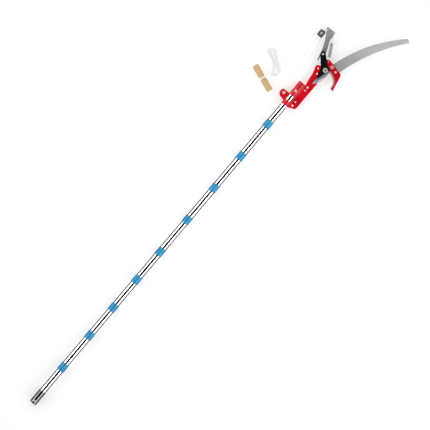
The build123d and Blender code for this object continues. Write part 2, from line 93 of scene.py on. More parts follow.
def surfaceMesh(name, surfaces, closedLoop=False, along=None):
    # each surface is a grid of points closed round its second side; its first and last rings are capped,
    # or joined to each other where it is a closed loop; faces are turned outwards by the sign of the volume
    points, faces, uvs, start = [], [], [], 0
    for grid in surfaces:
        rows, columns = grid.shape[:2]
        flat = grid.reshape(-1, 3)
        index, steps = gridFaces(rows, columns, closedLoop, True)
        a, b, c, d = (flat[index[:, k]] for k in range(4))
        volume = np.einsum("ij,ij->i", a, np.cross(b, c) + np.cross(c, d)).sum()
        caps = [] if closedLoop else [np.arange(columns)[::-1], (rows - 1) * columns + np.arange(columns)]
        for cap in caps:
            ring = flat[cap]
            volume += np.cross(ring[1:-1] - ring[0], ring[2:] - ring[0]).sum(0) @ ring[0]
        turn = slice(None, None, -1) if volume < 0 else slice(None)
        faces += (index[:, turn] + start).tolist() + [(cap[turn] + start).tolist() for cap in caps]
        travel = steps[:, turn, 0] if along is None else along[np.minimum(steps[:, turn, 0], rows - 1)]
        uvs.append(np.stack([travel, steps[:, turn, 1] / columns], 2).reshape(-1, 2))
        uvs += [np.zeros((len(cap), 2)) for cap in caps]
        points.append(flat)
        start += len(flat)
    mesh = bpy.data.meshes.new(name)
    mesh.from_pydata(np.concatenate(points).tolist(), [], faces)
    layer = mesh.uv_layers.new(name="along")
    layer.data.foreach_set("uv", np.concatenate(uvs).astype(np.float32).ravel())
    mesh.shade_smooth()
    mesh.set_sharp_from_angle(angle=math.radians(38))
    return mesh


def addPiece(name, mesh, body, slot, finish, *stoodFor):
    piece = bpy.data.objects.new(name, mesh)
    bpy.context.scene.collection.objects.link(piece)
    mesh.materials.clear()
    mesh.materials.append(finish)
    if body:
        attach(piece, body)
    if stoodFor:
        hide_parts(*stoodFor)
    return piece


def unit(vectors):
    return vectors / np.linalg.norm(vectors, axis=-1, keepdims=True)


def circleRing(radius, sides):
    turn = np.arange(sides) * 2 * np.pi / sides
    return np.stack([radius * np.cos(turn), radius * np.sin(turn)], 1)


def carried(line, ring, lean):
    # point (i, j) = line i + ring j's first number times the side + its second times the lift,
    # square to the line
    ahead = unit(np.gradient(line, axis=0))
    side = unit(np.cross(ahead, np.broadcast_to(lean, line.shape)))
    lift = np.cross(side, ahead)
    return line[:, None] + ring[None, :, :1] * side[:, None] + ring[None, :, 1:] * lift[:, None]


def roundedProfile(corners, softness, steps=3, guard=0.35 * mm):
    # each corner of an open profile becomes a short arc between guard points on its two runs
    corners = np.array(corners, float)
    out = [corners[0]]
    for before, corner, after in zip(corners, corners[1:], corners[2:]):
        back, on = before - corner, after - corner
        reach = min(softness, 0.4 * np.linalg.norm(back), 0.4 * np.linalg.norm(on))
        first, last = corner + unit(back) * reach, corner + unit(on) * reach
        t = np.linspace(0, 1, steps + 1)[:, None]
        bend = (1 - t) ** 2 * first + 2 * t * (1 - t) * corner + t**2 * last
        far = min(reach + guard, 0.45 * np.linalg.norm(back), 0.45 * np.linalg.norm(on))
        out += [corner + unit(back) * far, *bend, corner + unit(on) * far]
    return np.array([*out, corners[-1]])


def turned(profile, centre, axis, sides):
    # point (u, v) = centre + along(u) * axis + radius(u) * (cos v * across + sin v * up)
    axis = unit(np.array(axis, float))
    across = unit(np.cross(axis, (0, 0, 1) if abs(axis[2]) < 0.9 else (1, 0, 0)))
    up = np.cross(axis, across)
    v = np.arange(sides) * 2 * np.pi / sides
    rim = np.cos(v)[:, None] * across + np.sin(v)[:, None] * up
    return np.array(centre) + profile[:, None, :1] * axis + profile[:, None, 1:] * rim[None]


# Node trees: sums on a link add Math nodes

def mathOperator(operation):
    # an operator and its reflected form
    return (lambda self, other: self.tree.math(operation, self, other),
            lambda self, other: self.tree.math(operation, other, self))


class Link:
    def __init__(self, tree, socket):
        self.tree, self.socket = tree, socket

    __add__, __radd__ = mathOperator("ADD")
    __sub__, __rsub__ = mathOperator("SUBTRACT")
    __mul__, __rmul__ = mathOperator("MULTIPLY")
    __pow__, __rpow__ = mathOperator("POWER")

    def __abs__(self):
        return self.tree.math("ABSOLUTE", self)


class Tree:
    def __init__(self, tree, place):
        self.tree = tree
        self.place = self.add("ShaderNodeTexCoord", output=place)
        self.x, self.y, self.z = self.split(self.place)

    def add(self, kind, settings=None, sockets=None, output=0):
        # any node: its settings first, then the values or links of its sockets
        node = self.tree.nodes.new(kind)
        for key, value in (settings or {}).items():
            setattr(node, key, value)
        for key, value in (sockets or {}).items():
            self.feed(node.inputs[key], value)
        return Link(self, node.outputs[output])

    def feed(self, socket, value):
        if isinstance(value, Link):
            self.tree.links.new(value.socket, socket)
        elif socket.type == "RGBA":
            socket.default_value = (*value[:3], 1)
        else:
            socket.default_value = value

    def split(self, vector):
        parts = self.add("ShaderNodeSeparateXYZ", sockets={0: vector}).socket.node
        return [Link(self, parts.outputs[k]) for k in range(3)]

    def math(self, operation, *values):
        return self.add("ShaderNodeMath", {"operation": operation}, dict(enumerate(values)))

    def fade(self, value, low, high):
        # 0 below low, 1 above high, smooth between
        settings = {"interpolation_type": "SMOOTHSTEP"}
        return self.add("ShaderNodeMapRange", settings, {0: value, 1: low, 2: high, 3: 0.0, 4: 1.0})

    def mix(self, mask, first, second):
        return self.add("ShaderNodeMix", {"data_type": "RGBA"}, {0: mask, 6: first, 7: second}, 2)

    def noise(self, grain, detail=3, place=None):
        # grain is how many waves a metre along X, Y and Z
        sockets = {0: place or self.place, 1: grain}
        stretched = self.add("ShaderNodeVectorMath", {"operation": "MULTIPLY"}, sockets)
        return self.add("ShaderNodeTexNoise", sockets={"Vector": stretched, "Scale": 1.0, "Detail": detail})

    def apart(self, centre):
        # distance from a centre, seen along Z
        return ((self.x - centre[0]) ** 2 + (self.y - centre[1]) ** 2) ** 0.5


class Finish(Tree):
    def __init__(self, name, **constants):
        self.material = bpy.data.materials.new(name)
        self.material.use_nodes = True
        super().__init__(self.material.node_tree, "Object")
        self.shader = self.tree.nodes["Principled BSDF"]
        for socket, value in constants.items():
            self.shader.inputs[socket.replace("_", " ")].default_value = value

    def set(self, name, value):
        self.feed(self.shader.inputs[name], value)

    def turnedPlace(self, centre, angle):
        # Object coordinates about a centre, turned about Z so that X runs along the piece
        moved = self.add("ShaderNodeVectorMath", {"operation": "SUBTRACT"}, {0: self.place, 1: centre})
        return self.add("ShaderNodeMapping", sockets={"Vector": moved, "Rotation": (0, 0, -angle)})

    def bump(self, height, distance, strength=1.0):
        sockets = {"Height": height, "Distance": distance, "Strength": strength}
        self.set("Normal", self.add("ShaderNodeBump", sockets=sockets))


def circleThrough(first, second, third):
    # centre and radius of the circle through three points
    rows = np.array([[2 * (q[0] - first[0]), 2 * (q[1] - first[1])] for q in (second, third)])
    sums = np.array([q[0] ** 2 + q[1] ** 2 - first[0] ** 2 - first[1] ** 2 for q in (second, third)])
    centre = np.linalg.solve(rows, sums)
    return centre, math.hypot(first[0] - centre[0], first[1] - centre[1])


pivot = np.array([1603.5, -33.4]) * mm


def aboutPivot(*points):
    return [tuple(pivot + np.array(p) * mm) for p in points]


# Finishes

chromeLook = {"bright": (0.86, 0.87, 0.88), "dull": (0.70, 0.71, 0.73), "rough": 0.055}


def chromeFinish():
    f = Finish("polishedChrome", Metallic=1)
    drawn = f.noise((5, 700, 700), 2)  # drawing lines run along the pole
    cloud = f.noise((18, 50, 50), 4)
    f.set("Base Color", f.mix(f.fade(cloud, 0.45, 0.75), chromeLook["bright"], chromeLook["dull"]))
    f.set("Roughness", chromeLook["rough"] + 0.05 * drawn + 0.06 * f.fade(cloud, 0.5, 0.8))
    f.bump(drawn, 0.004 * mm)
    return f.material


collarLook = {
    "blue": (0.010, 0.26, 0.47), "pale": (0.05, 0.38, 0.66), "deep": (0.006, 0.18, 0.39), "rough": 0.24,
}


def collarFinish():
    f = Finish("blueCollar", Specular_IOR_Level=0.45, Coat_Weight=0.15, Coat_Roughness=0.12)
    cloud = f.noise((60, 60, 60), 4)
    grain = f.noise((900, 900, 900), 2)  # moulded skin
    scuff = f.fade(f.noise((40, 700, 700), 3), 0.62, 0.72) * f.fade(cloud, 0.45, 0.65)
    base = f.mix(f.fade(cloud, 0.3, 0.7), collarLook["deep"], collarLook["blue"])
    f.set("Base Color", f.mix(0.5 * scuff, base, collarLook["pale"]))
    f.set("Roughness", collarLook["rough"] + 0.12 * cloud + 0.2 * scuff)
    f.bump(grain, 0.02 * mm, 0.5)
    return f.material


paintLook = {
    "red": (0.60, 0.003, 0.014), "deep": (0.42, 0.001, 0.008), "chip": (0.35, 0.33, 0.32), "rough": 0.22,
    "coat": 0.2,
}
jawLook = {
    "bare": (0.78, 0.76, 0.72), "line": (0.55, 0.50, 0.47), "margin": 6.0, "top": -15.3, "corner": -46.8,
    "tip": -58.0, "wave": 0.9, "fade": 0.7, "end": 0.3,
}
jawEdges = (
    ((2, -15.3), (-3, -32), (-13, -46.8)),
    ((-13, -46.8), (-22, -52), (-36, -54.3)),
)


def paintFinish(name, bareJaw=False):
    f = Finish(name, Specular_IOR_Level=0.4, Coat_Weight=paintLook["coat"], Coat_Roughness=0.08)
    cloud = f.noise((30, 30, 30), 4)
    peel = f.noise((420, 420, 420), 2)  # orange peel of a sprayed coat
    speck = f.fade(f.noise((380, 380, 380), 5), 0.70, 0.73)  # small chips
    colour = f.mix(f.fade(cloud, 0.35, 0.7), paintLook["red"], paintLook["deep"])
    colour = f.mix(0.5 * speck, colour, paintLook["chip"])
    rough = paintLook["rough"] + 0.10 * cloud + 0.3 * speck
    if bareJaw:
        bare = 0.0
        j = jawLook
        wave = j["wave"] * mm * (f.noise((90, 90, 90), 2) - 0.5)
        spans = ((j["corner"], j["top"]), (j["tip"], j["corner"] + 0.4))
        for points, (low, high) in zip(jawEdges, spans):
            centre, radius = circleThrough(*aboutPivot(*points))
            edge = f.apart(centre) - radius  # outward from the hook's inner edge
            band = 1 - f.fade(edge + wave, j["margin"] * mm, (j["margin"] + j["fade"]) * mm)
            low, high, end = pivot[1] + low * mm, pivot[1] + high * mm, j["end"] * mm
            band = band * f.fade(f.y, low - end, low) * (1 - f.fade(f.y, high, high + end))
            bare = f.math("MAXIMUM", bare, band)
        ground = f.mix(f.noise((60, 900, 300), 3), j["bare"], j["line"])
        colour = f.mix(bare, colour, ground)
        rough = rough + 0.1 * bare
        f.set("Metallic", 0.75 * bare)
        f.set("Coat Weight", paintLook["coat"] * (1 - bare))
    f.set("Base Color", colour)
    f.set("Roughness", rough)
    f.bump(peel, 0.03 * mm, 0.6)
    return f.material


sawLook = {
    "steel": (0.66, 0.66, 0.66), "dark": (0.40, 0.40, 0.40), "root": (0.27, 0.27, 0.275),
    "tooth": (0.72, 0.71, 0.70), "rough": 0.42, "lean": -28, "rootSpan": (1.630, 1.800),
    "toothSpan": (1.2, 3.4),
}
sawEdge = ((34.5, -47.6), (141, -87), (270, -168.6))


def sawFinish():
    f = Finish("sawSteel", Metallic=0.4)
    centre, radius = circleThrough(*aboutPivot(*sawEdge))
    far = f.apart(centre)
    lengthwise = f.turnedPlace((*centre, 0), math.radians(sawLook["lean"]))
    brush = f.noise((14, 1500, 300), 4, lengthwise)  # polishing lines along the blade
    cloud = f.noise((35, 35, 35), 4)
    inward = abs(far - radius)
    low, high = (v * mm for v in sawLook["toothSpan"])
    tooth = 1 - f.fade(inward, low, high)  # sharpened teeth are bare and bright
    root = 1 - f.fade(f.x, *sawLook["rootSpan"])
    colour = f.mix(0.75 * brush, sawLook["steel"], sawLook["dark"])
    colour = f.mix(0.35 * f.fade(cloud, 0.4, 0.7), colour, sawLook["dark"])
    colour = f.mix(0.7 * root, colour, sawLook["root"])
    colour = f.mix(0.8 * tooth, colour, sawLook["tooth"])
    f.set("Base Color", colour)
    f.set("Roughness", sawLook["rough"] + 0.16 * brush - 0.12 * tooth)
    f.bump(brush, 0.02 * mm, 0.6)
    return f.material


bladeLook = {
    "coat": (0.004, 0.004, 0.005), "ground": (0.44, 0.46, 0.49), "line": (0.07, 0.08, 0.105),
    "scratch": (0.2, 0.2, 0.21), "width": 15.0, "blur": 0.3, "stop": (4, 7), "heel": (-34, -4),
    "front": (4.9, 5.3),
}
bladeEdge = ((4.8, -14.6), (-33.7, -15.9), (-66.7, 4.9))


def bladeFinish():
    f = Finish("coatedBlade", Specular_IOR_Level=0.3, Coat_Roughness=0.1)
    centre, radius = circleThrough(*aboutPivot(*bladeEdge))
    inward = radius - f.apart(centre)
    look = bladeLook
    ground = 1 - f.fade(inward, (look["width"] - look["blur"]) * mm, (look["width"] + look["blur"]) * mm)
    ground = ground * (1 - f.fade(f.x, *(pivot[0] + v * mm for v in look["stop"])))
    ground = ground * f.fade(f.z, *(v * mm for v in look["front"]))  # the blade's front face only
    brush = f.noise((1100, 160, 300), 3)
    cloud = f.noise((60, 60, 60), 3)
    scratch = f.fade(f.noise((90, 1200, 500), 3), 0.66, 0.74) * f.fade(cloud, 0.5, 0.7)
    steel = f.mix(0.7 * brush, look["ground"], look["line"])
    heel = f.fade(f.x, *(pivot[0] + v * mm for v in look["heel"]))  # the grind darkens towards the pivot
    steel = f.mix(0.8 * heel, steel, look["line"])
    coat = f.mix(0.35 * scratch, look["coat"], look["scratch"])
    f.set("Base Color", f.mix(ground, coat, steel))
    f.set("Metallic", 0.6 * ground)
    f.set("Roughness", 0.22 + 0.1 * cloud + 0.1 * ground + 0.15 * scratch)
    f.set("Coat Weight", 0.1 * (1 - ground))
    f.bump(brush * ground + 0.3 * cloud, 0.03 * mm, 0.5)
    return f.material


leverLook = {
    "spur": (0.012, 0.012, 0.014), "top": (0.36, 0.36, 0.37), "foot": (0.11, 0.11, 0.125),
    "rim": (0.50, 0.50, 0.50), "rough": 0.38, "rise": (1.612, 1.775), "face": (2.4, 5.0), "end": (38, 42),
}


def leverFinish():
    f = Finish("leverSteel", Metallic=0.5)
    upArm = f.fade(f.x + f.y, *leverLook["rise"])
    cloud = f.noise((50, 50, 50), 4)
    lines = f.noise((700, 700, 30), 3)  # rolling lines of the sheet
    face = f.fade(f.z, *(v * mm for v in leverLook["face"]))
    colour = f.mix(upArm, leverLook["foot"], leverLook["top"])
    colour = f.mix(0.30 * f.fade(cloud, 0.4, 0.7), colour, leverLook["rim"])
    colour = f.mix(0.35 * (1 - face), colour, leverLook["rim"])
    low, high = (pivot[0] + v * mm for v in leverLook["end"])
    spur = 1 - f.fade(f.x, low, high)  # the spur beside the blade is black
    f.set("Base Color", f.mix(spur, colour, leverLook["spur"]))
    f.set("Roughness", leverLook["rough"] + 0.15 * lines)
    f.bump(lines, 0.02 * mm, 0.6)
    return f.material


def metalFinish(name, bright, dull, rough, metallic, grain=260):
    f = Finish(name, Metallic=metallic)
    cloud = f.noise((grain, grain, grain), 4)
    fine = f.noise((grain * 5, grain * 5, grain * 5), 2)
    f.set("Base Color", f.mix(f.fade(cloud, 0.35, 0.7), bright, dull))
    f.set("Roughness", rough + 0.15 * cloud)
    f.bump(fine, 0.02 * mm, 0.5)
    return f.material


blockLook = {
    "black": (0.008, 0.008, 0.009), "plate": (0.34, 0.34, 0.34), "line": (0.13, 0.13, 0.14),
    "centre": (1696.5, 63.9), "half": (12.5, 10.8), "border": 2.6,
}


def blockFinish():
    f = Finish("blockCheeks", Specular_IOR_Level=0.3)
    x, y = (v * mm for v in blockLook["centre"])
    halfX, halfY = ((v - blockLook["border"]) * mm for v in blockLook["half"])
    outward = f.math("MAXIMUM", abs(f.x - x) - halfX, abs(f.y - y) - halfY)
    border = f.fade(outward, -0.2 * mm, 0.2 * mm)
    lines = f.noise((1400, 120, 300), 3)
    cloud = f.noise((200, 200, 200), 3)
    plate = f.mix(0.6 * lines, blockLook["plate"], blockLook["line"])
    f.set("Base Color", f.mix(border, plate, blockLook["black"]))
    f.set("Metallic", 0.8 * (1 - border))
    f.set("Roughness", 0.28 + 0.15 * cloud)
    f.bump(lines * (1 - border) + 0.4 * cloud, 0.03 * mm, 0.5)
    return f.material


def plasticFinish(name, colour, pale, rough, lacquer=0.0):
    gloss = {"Specular_IOR_Level": 0.35 + 0.6 * lacquer, "Coat_Weight": lacquer}
    f = Finish(name, **gloss, Coat_Roughness=0.04, Coat_IOR=1.9)
    cloud = f.noise((70, 70, 70), 4)
    skin = f.noise((1100, 1100, 1100), 2)
    scuff = f.fade(f.noise((900, 60, 60), 3), 0.66, 0.76)
    f.set("Base Color", f.mix(0.25 * scuff + 0.2 * f.fade(cloud, 0.4, 0.8), colour, pale))
    f.set("Roughness", rough + 0.1 * cloud + 0.2 * scuff)
    f.bump(skin, 0.02 * mm, 0.5 - 0.45 * lacquer)
    return f.material


handleLook = {
    "pale": (0.60, 0.41, 0.21), "late": (0.42, 0.26, 0.12), "dark": (0.36, 0.20, 0.08), "turn": 70.7,
    "heart": (19, 7), "ring": 2.1, "warp": 4,
}
handleMiddle = np.array([1436.8, 122.7, -2.4]) * mm
handleTurn = math.radians(handleLook["turn"])


def woodFinish():
    f = Finish("turnedWood")
    straight = f.turnedPlace(tuple(handleMiddle), handleTurn)
    _, y, z = f.split(straight)
    warp = handleLook["warp"] * mm * f.noise((10, 60, 60), 2, straight)
    heartY, heartZ = (v * mm for v in handleLook["heart"])
    away = ((y + heartY) ** 2 + (z - heartZ) ** 2) ** 0.5  # growth rings about the heart, off the stick
    rings = f.math("SINE", (away + warp) * (2 * math.pi / (handleLook["ring"] * mm)))
    late = f.fade(rings, -0.2, 0.95)
    fibre = f.noise((30, 1600, 1600), 3, straight)
    pore = f.fade(f.noise((90, 2300, 2300), 2, straight), 0.64, 0.72)
    colour = f.mix(0.65 * late, handleLook["pale"], handleLook["late"])
    colour = f.mix(0.25 * fibre, colour, handleLook["late"])
    f.set("Base Color", f.mix(0.5 * pore, colour, handleLook["dark"]))
    f.set("Roughness", 0.48 + 0.12 * fibre)
    f.bump(fibre - 0.8 * pore, 0.05 * mm, 0.6)
    return f.material


cordLook = {"white": (0.84, 0.84, 0.83), "shade": (0.62, 0.62, 0.61), "plaits": 4, "pitch": 3.4}


def cordFinish():
    f = Finish("braidedCord", Roughness=0.7, Sheen_Weight=0.3)
    along, around, _ = f.split(f.add("ShaderNodeUVMap", {"uv_map": "along"}))
    run = along * (math.pi / (cordLook["pitch"] * mm))
    twist = around * (math.pi * cordLook["plaits"])
    left = abs(f.math("SINE", run + twist))
    right = abs(f.math("SINE", run - twist))
    plait = f.math("MAXIMUM", left, right)  # strands over and under, in diamonds
    soil = f.noise((70, 70, 70), 4)
    # painted shade: the grooves between the plaits are darkened towards the shade grey; random soil spots
    # darken to the same grey
    colour = f.mix(1 - f.fade(plait, 0.5, 0.9), cordLook["white"], cordLook["shade"])
    f.set("Base Color", f.mix(0.25 * f.fade(soil, 0.5, 0.75), colour, cordLook["shade"]))
    f.bump(plait, 0.35 * mm, 0.8)
    return f.material


chrome, blue, red = chromeFinish(), collarFinish(), paintFinish("redPaint")
redJaw, sawSteel, coated = paintFinish("redHookPaint", True), sawFinish(), bladeFinish()
leverSteel, wood, cordWhite, cheekBlack = leverFinish(), woodFinish(), cordFinish(), blockFinish()
zinc = metalFinish("zincPlate", (0.86, 0.85, 0.81), (0.66, 0.64, 0.60), 0.30, 0.55)
springSteel = metalFinish("springSteel", (0.46, 0.45, 0.43), (0.26, 0.255, 0.245), 0.36, 0.7)
boltSteel = metalFinish("boltSteel", (0.20, 0.20, 0.205), (0.10, 0.10, 0.105), 0.38, 0.85)
castAlloy = metalFinish("castAlloy", (0.34, 0.35, 0.36), (0.20, 0.21, 0.22), 0.42, 0.9)
capBlack = plasticFinish("capBlack", (0.003, 0.003, 0.003), (0.012, 0.012, 0.012), 0.04, 1.0)
blockBlack = plasticFinish("blockBlack", (0.008, 0.008, 0.009), (0.07, 0.07, 0.075), 0.25)
sheaveNylon = plasticFinish("sheaveNylon", (0.62, 0.61, 0.57), (0.45, 0.44, 0.41), 0.35)
print("finishes made")

# Cords

tackleWay = [
    (1682.9, 69.5, 0), (1632.7, 61.6, 0), (1574.0, 53.4, 0), (1515.0, 46.3, 0), (1472.3, 41.9, 0),
    (1449.8, 39.9, 0), (1438.6, 38.9, 0), (1434.1, 28.0, 0), (1441.4, 18.7, 0), (1464.9, 21.4, 0),
    (1511.9, 27.1, 0), (1573.6, 35.5, 0), (1626.8, 43.7, 0), (1667.1, 50.5, 0), (1690.4, 54.7, 0),
    (1703.1, 57.0, 0), (1706.8, 62.9, 0), (1704.7, 69.6, 0), (1698.6, 74.0, 0),
]
leadWay = [
    (1692.5, 78.4, 0), (1679.5, 84.4, -1.5), (1655.0, 93.0, -6), (1617.0, 98.8, -10.5),
    (1574.0, 101.2, -12.6), (1535.0, 106.8, -12.6), (1512.0, 113.0, -12.6),
]
hankLook = {
    "foot": (1474.7, 91.3), "head": (1537.0, 174.0), "bow": 10.0, "folds": (15.0, 87.0),
    "layers": (-12.6, -9.55, -6.5, -3.45),
    "topLean": (4.0, -1.0, -5.0, 0.0), "footLean": (1.0, -2.0, 3.0, 0.0),
    "topReach": (0.0, -5.0, 3.0, -8.0), "footReach": (0.0, 4.0, -3.0, 6.0),
    "entry": ((24, 15.5, 0), (15, 17, 0)), "out": 1.05, "across": 1.12, "lastLeg": 0.9,
}
# each leg: its place across the hank at the foot fold, the waist and the head fold, and its layer
hankLegs = [
    (-15, -8.7, -15, 0), (15, 8.7, 15, 0), (-12, -5.2, -12, 0),
    (12, 5.2, 12, 0), (-9, -1.75, -9, 0), (9, 1.75, 9, 0),
    (-9, -1.75, -9, 1), (9, 1.75, 9, 1), (-12, -5.2, -12, 1),
    (12, 5.2, 12, 1), (-15, -8.7, -15, 1), (15, 8.7, 15, 1),
    (-13, -7, -13, 2), (13, 7, 13, 2), (-10, -3.5, -10, 2),
    (10, 3.5, 10, 2), (-9, 2, -11, 3), (-12.5, -1, 9, 3),
]


def hankPoint(along, across, layer, lift=0.0):
    # a place in the hank: along its bowed middle line and across it, leaning with its layer
    foot, head = np.array(hankLook["foot"]), np.array(hankLook["head"])
    length = np.linalg.norm(head - foot)
    ahead = (head - foot) / length
    aside = np.array([ahead[1], -ahead[0]])
    share = along / length
    lean = hankLook["topLean"][layer] * max(share, 0) ** 2
    lean += hankLook["footLean"][layer] * max(1 - share, 0) ** 2
    bow = hankLook["bow"] * math.sin(math.pi * min(max(share, 0), 1))
    spot = foot + ahead * along + aside * (across + bow + lean)
    return (*spot, hankLook["layers"][layer] + lift)


def hankWay():
    points = [hankPoint(*place) for place in hankLook["entry"]]
    last = hankLook["entry"][-1][1:]
    for n, (footPlace, waist, headPlace, layer) in enumerate(hankLegs):
        upward = n % 2 == 0
        start = hankLook["folds"][0] - hankLook["footReach"][layer]
        end = hankLook["folds"][1] + hankLook["topReach"][layer]
        here = footPlace if upward else headPlace
        middle, reach = (last[0] + here) / 2, (last[0] - here) / 2
        way = -1 if upward else 1  # the fold bulges past the foot or the head
        base = start if upward else end
        for angle in (35, 90, 145):  # half a ring of points for the fold
            c, s = math.cos(math.radians(angle)), math.sin(math.radians(angle))
            between = last[1] if angle < 90 else layer
            out, aside = way * abs(reach) * hankLook["out"] * s, hankLook["across"] * reach * c
            points.append(hankPoint(base + out, middle + aside, between))
        for share in np.linspace(0, 1 if n < len(hankLegs) - 1 else hankLook["lastLeg"], 6):
            place = share if upward else 1 - share
            fold = footPlace if place < 0.5 else headPlace
            across = waist + (fold - waist) * math.cos(math.pi * place) ** 2
            points.append(hankPoint(start + (end - start) * place, across, layer))
        last = ((headPlace if upward else footPlace), layer)
    return points


def routeLine(name, points):
    # the line of a NURBS spline with these control points, read back from a curve with no bevel
    curve = bpy.data.curves.new(name, "CURVE")
    curve.dimensions = "3D"
    curve.resolution_u = 8
    spline = curve.splines.new("NURBS")
    spline.points.add(len(points) - 1)
    spline.points.foreach_set("co", np.c_[np.array(points, float) * mm, np.ones(len(points))].ravel())
    spline.order_u = 3
    spline.use_endpoint_u = True
    holder = bpy.data.objects.new(name, curve)
    bpy.context.scene.collection.objects.link(holder)
    read = bpy.data.meshes.new_from_object(holder.evaluated_get(bpy.context.evaluated_depsgraph_get()))
    line = np.zeros(len(read.vertices) * 3)
    read.vertices.foreach_get("co", line)
    bpy.data.objects.remove(holder)
    bpy.data.meshes.remove(read)
    line = line.reshape(-1, 3)
    return line[np.r_[True, np.linalg.norm(np.diff(line, axis=0), axis=1) > 1e-7]]


def cordMesh(name, line, radius, sides=12):
    travel = np.r_[0, np.cumsum(np.linalg.norm(np.diff(line, axis=0), axis=1))]
    print(name, "length", round(float(travel[-1]), 4))
    return surfaceMesh(name, [carried(line, circleRing(radius, sides), (0, 0, 1))], along=travel)


cordSize = {"radius": 1.5 * mm, "mainLength": 2.76, "tailLength": 0.035}
mainLine = routeLine("pullCordLine", tackleWay + leadWay + hankWay())
pullCord = addPiece("pullCord", cordMesh("pullCord", mainLine, cordSize["radius"]), None, "cord", cordWhite,
                    "cord_tackle", "cord_lead", "cord_hank")
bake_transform(pullCord)

tailStart = tuple(mainLine[-1] / mm)
tailWay = [tailStart, (1470.0, 115.5, -6.5), (1458.0, 117.3, -7.5), (1447.0, 119.6, -4.5)]
tailLine = routeLine("handleTailLine", tailWay)
tailMesh = cordMesh("handleTail", tailLine, cordSize["radius"])
handleTail = addPiece("handleTail", tailMesh, None, "cord", cordWhite, "cord_tail")
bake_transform(handleTail)
print("cords laid")


# Pole: sections, ferrules, collars and butt cap

poleSize = {
    "joints": (170, 321, 453, 585, 717, 868, 1019, 1170, 1321), "start": 20.0, "end": 1510.0,
    "halfCollar": 16.0,
    "gap": 0.3, "tube": 12.5, "bore": 11.3, "collar": 14.2, "thread": 12.4, "neck": 11.0, "nose": 9.0,
    "pitch": 3.0, "threadDepth": 0.8, "lip": 3.7, "flange": 3.7, "plug": 20.0, "noseLength": 18.0,
    "threadLength": 15.0, "fit": 0.05, "relief": 0.5, "bevel": 0.7, "sides": 96, "innerSides": 72,
}


def pipeMesh(name, x0, x1, outer, inner, softness):
    corners = np.array([(x0, inner), (x0, outer), (x1, outer), (x1, inner)]) * mm
    corners = np.concatenate([corners, corners[:2]])
    profile = roundedProfile(corners, softness * mm)[1:-1]
    return surfaceMesh(name, [turned(profile, (0, 0, 0), (1, 0, 0), poleSize["sides"])], closedLoop=True)


def threadedFerrule(x):
    # radius(u, v) = root + depth * ridge(u / pitch + v), a screw that fades out at both ends
    p = poleSize
    seat = x + p["halfCollar"] - p["lip"] - p["flange"] - 2 * p["gap"]
    foot = x - p["halfCollar"] - p["gap"]
    plug, root, hole = p["bore"] - p["fit"], p["thread"] - p["relief"], p["nose"] + p["fit"]
    end, bottom = foot - p["plug"], seat - p["noseLength"] - 2
    outer = [(end, 0), (end, plug), (foot, plug), (foot, root), (seat - p["threadLength"] - 0.5, root)]
    screw = [(u, p["thread"]) for u in np.linspace(seat - p["threadLength"], seat - 0.2, 61)]
    inner = [(seat, p["thread"] - p["threadDepth"]), (seat, hole), (bottom, hole), (bottom, 0)]
    surface = turned(np.array(outer + screw + inner) * mm, (0, 0, 0), (1, 0, 0), p["innerSides"])
    rows = slice(len(outer), len(outer) + len(screw))
    u = np.array([q[0] for q in screw])[:, None]
    v = np.arange(p["innerSides"])[None] / p["innerSides"]
    phase = (u / p["pitch"] + v) % 1
    ridge = np.clip(1.25 - np.abs(phase - 0.5) * 4, -0.55, 0.55) / 1.1 + 0.5
    ends = np.clip((u - u[0]) / 2, 0, 1) * np.clip((u[-1] - u) / 1.5, 0, 1)
    radius = p["thread"] - p["threadDepth"] * (1 - ridge * ends)
    surface[rows, :, 1:] *= (radius / p["thread"])[..., None]
    return surface


def flangedFerrule(x):
    p = poleSize
    face = x + p["halfCollar"] - p["lip"] - p["gap"]
    seat, foot = face - p["flange"], x + p["halfCollar"] + p["gap"]
    rim, plug = p["thread"] - p["fit"], p["bore"] - p["fit"]
    tip, end = seat - p["noseLength"], foot + p["plug"]
    corners = [(tip, 0), (tip, p["nose"]), (seat, p["nose"]), (seat, rim), (face, rim), (face, p["neck"]),
               (foot, p["neck"]), (foot, plug), (end, plug), (end, 0)]
    return turned(roundedProfile(np.array(corners) * mm, 0.4 * mm), (0, 0, 0), (1, 0, 0), p["innerSides"])


def collarMesh(name, x):
    p = poleSize
    low, high, bevel = x - p["halfCollar"], x + p["halfCollar"], p["bevel"]
    lip = high - p["lip"]
    neck, bore, outer = p["neck"] + p["fit"], p["thread"] + p["fit"], p["collar"]
    corners = [(lip, neck), (lip, bore), (low, bore), (low, outer - bevel), (low + bevel, outer),
               (high - bevel, outer), (high, outer - bevel), (high, neck)]
    corners = np.array(corners) * mm
    profile = roundedProfile(np.concatenate([corners, corners[:2]]), 0.35 * mm)[1:-1]
    return surfaceMesh(name, [turned(profile, (0, 0, 0), (1, 0, 0), poleSize["sides"])], closedLoop=True)


joints = poleSize["joints"]
for n in range(10):
    body = "head" if n == 9 else f"section_{n + 1}"
    x0 = poleSize["start"] if n == 0 else joints[n - 1] + poleSize["halfCollar"] + poleSize["gap"]
    x1 = poleSize["end"] if n == 9 else joints[n] - poleSize["halfCollar"] - poleSize["gap"]
    tube = pipeMesh(f"tube{n + 1}", x0, x1, poleSize["tube"], poleSize["bore"], 0.25)
    addPiece(f"tube{n + 1}", tube, body, "tube", chrome, f"tube_{n + 1}")
    ends = ([flangedFerrule(joints[n - 1])] if n else []) + ([threadedFerrule(joints[n])] if n < 9 else [])
    ferrules = surfaceMesh(f"ferrules{n + 1}", ends)
    addPiece(f"ferrules{n + 1}", ferrules, body, "ferrule", castAlloy, f"ferrules_{n + 1}")
    if n < 9:
        collar = collarMesh(f"collar{n + 1}", joints[n])
        addPiece(f"collar{n + 1}", collar, f"collar_{n + 1}", "collar", blue, f"collar_{n + 1}")
print("pole made")


# Lopper head: plates and hardware keep the frame's shapes, with their edges rounded

dressing = {"merge": 0.002, "flat": 0.4, "sharp": 35}


